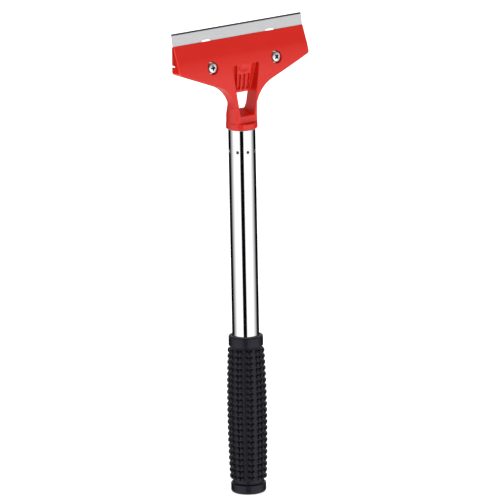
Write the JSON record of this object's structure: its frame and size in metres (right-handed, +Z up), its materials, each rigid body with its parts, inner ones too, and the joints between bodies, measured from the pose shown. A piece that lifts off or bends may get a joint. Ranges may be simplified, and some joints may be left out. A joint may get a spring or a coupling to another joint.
{
  "type": "algae scraper",
  "caption": "Hand scraper for aquarium glass: straight steel blade clamped in a plastic head on a metal tube with a studded rubber grip.",
  "frame": {"origin": "centre of the flat butt of the grip", "axes": "+Z up the handle towards the blade, X along the blade, -Y the front with the screw heads"},
  "size_m": [0.1004, 0.0234, 0.2821],
  "materials": {
    "head_plastic": "glossy moulded red",
    "blade_steel": "fine ground steel with a bright ground edge",
    "fastener_steel": "bright stainless",
    "nut_brass": "plain brass",
    "tube_chrome": "polished chrome plate",
    "grip_rubber": "soft matt black rubber"
  },
  "bodies": {
    "handle": {"head_body": "head_plastic", "tube": "tube_chrome", "grip": "grip_rubber", "washer_left": "fastener_steel", "washer_right": "fastener_steel"},
    "clamp": {"clamp_plate": "head_plastic", "nut_left": "nut_brass", "nut_right": "nut_brass"},
    "blade_body": {"blade": "blade_steel"},
    "left_screw": {"screw_left": "fastener_steel"},
    "right_screw": {"screw_right": "fastener_steel"}
  },
  "joints": [
    {"name": "screw_left_turn", "type": "hinge", "parent": "handle", "child": "left_screw", "pos_m": [-0.0246, -0.00475, 0.2599], "axis": [0, -0.989, 0.1478], "range_deg": [0, 1080]},
    {"name": "screw_right_turn", "type": "hinge", "parent": "handle", "child": "right_screw", "pos_m": [0.0246, -0.00475, 0.2599], "axis": [0, -0.989, 0.1478], "range_deg": [0, 1080]},
    {"name": "clamp_open", "type": "slide", "parent": "handle", "child": "clamp", "axis": [0, 0.989, -0.1478], "range_m": [0, 0.0015]},
    {"name": "blade_slide", "type": "slide", "parent": "handle", "child": "blade_body", "axis": [0, 0.1478, 0.989], "range_m": [0, 0.012]}
  ],
  "couplings": [
    {"joint": "screw_left_turn", "follows": "clamp_open", "rad_per_m": 12566},
    {"joint": "screw_right_turn", "follows": "clamp_open", "rad_per_m": 12566}
  ]
}
